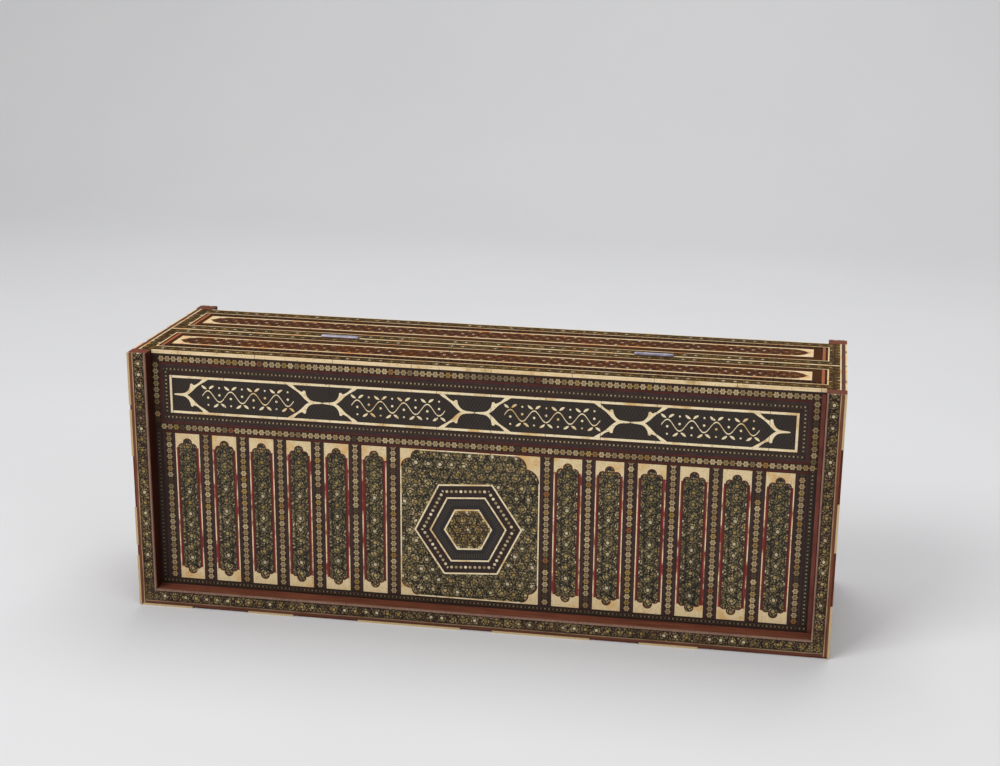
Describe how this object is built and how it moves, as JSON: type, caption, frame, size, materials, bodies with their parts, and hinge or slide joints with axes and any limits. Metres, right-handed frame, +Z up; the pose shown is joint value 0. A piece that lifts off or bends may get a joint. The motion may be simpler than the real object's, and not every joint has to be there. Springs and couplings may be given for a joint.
{
  "type": "nard box",
  "caption": "Folding inlaid nard (backgammon) box, shut and standing on its long edge: two hinged trays with recessed playing fields outside.",
  "frame": {"origin": "middle of the footprint, on the surface the shut box stands on", "axes": "+X along the box's length, +Y from the front tray to the rear tray, +Z up"},
  "size_m": [0.56, 0.172, 0.215],
  "materials": {
    "carcass_wood": "worn varnish",
    "dark_wood": "worn varnish",
    "purple_wood": "worn varnish",
    "red_wood": "worn varnish",
    "star_mosaic": "worn varnish",
    "gilded_mosaic": "worn varnish",
    "bone": "polished, yellowed",
    "hinge_silver": "dull"
  },
  "bodies": {
    "rear_tray": {"rear_playing_board": "dark_wood", "rear_hinge_wall": "carcass_wood", "rear_foot_wall": "carcass_wood", "rear_left_end_wall": "carcass_wood", "rear_right_end_wall": "carcass_wood", "rear_rim_mosaic": "star_mosaic", "rear_rim_wood_strip": "red_wood", "rear_rim_edging": "bone", "rear_top_mosaic": "star_mosaic", "rear_top_lines": "bone", "rear_top_cartouche": "gilded_mosaic", "rear_top_ground": "dark_wood", "rear_end_mosaics": "star_mosaic", "rear_arris_strip": "bone", "rear_star_bands": "star_mosaic", "rear_dot_bands": "dark_wood", "rear_purple_strips": "purple_wood", "rear_red_strips": "red_wood", "rear_panel_ground": "dark_wood", "rear_panel_inlay": "bone", "rear_cell_mosaics": "star_mosaic", "rear_cell_borders": "red_wood", "rear_cell_spandrels": "bone", "rear_cell_strings": "bone", "rear_medallion_mosaic": "star_mosaic", "rear_hexagon_lines": "bone", "rear_hexagon_bands": "purple_wood", "rear_hinge_leaves": "hinge_silver", "rear_hinge_nails": "hinge_silver", "hinge_pins": "hinge_silver"},
    "front_tray": {"front_playing_board": "dark_wood", "front_hinge_wall": "carcass_wood", "front_foot_wall": "carcass_wood", "front_left_end_wall": "carcass_wood", "front_right_end_wall": "carcass_wood", "front_rim_mosaic": "star_mosaic", "front_rim_wood_strip": "red_wood", "front_rim_edging": "bone", "front_top_mosaic": "star_mosaic", "front_top_lines": "bone", "front_top_cartouche": "gilded_mosaic", "front_top_ground": "dark_wood", "front_end_mosaics": "star_mosaic", "front_arris_strip": "bone", "front_star_bands": "star_mosaic", "front_dot_bands": "dark_wood", "front_purple_strips": "purple_wood", "front_red_strips": "red_wood", "front_panel_ground": "dark_wood", "front_panel_inlay": "bone", "front_cell_mosaics": "star_mosaic", "front_cell_borders": "red_wood", "front_cell_spandrels": "bone", "front_cell_strings": "bone", "front_medallion_mosaic": "star_mosaic", "front_hexagon_lines": "bone", "front_hexagon_bands": "purple_wood", "front_hinge_leaves": "hinge_silver", "front_hinge_nails": "hinge_silver"}
  },
  "joints": [
    {"name": "box_opens", "type": "hinge", "parent": "rear_tray", "child": "front_tray", "pos_m": [0, 0, 0.21315], "axis": [-1, 0, 0], "range_deg": [0, 180]}
  ]
}
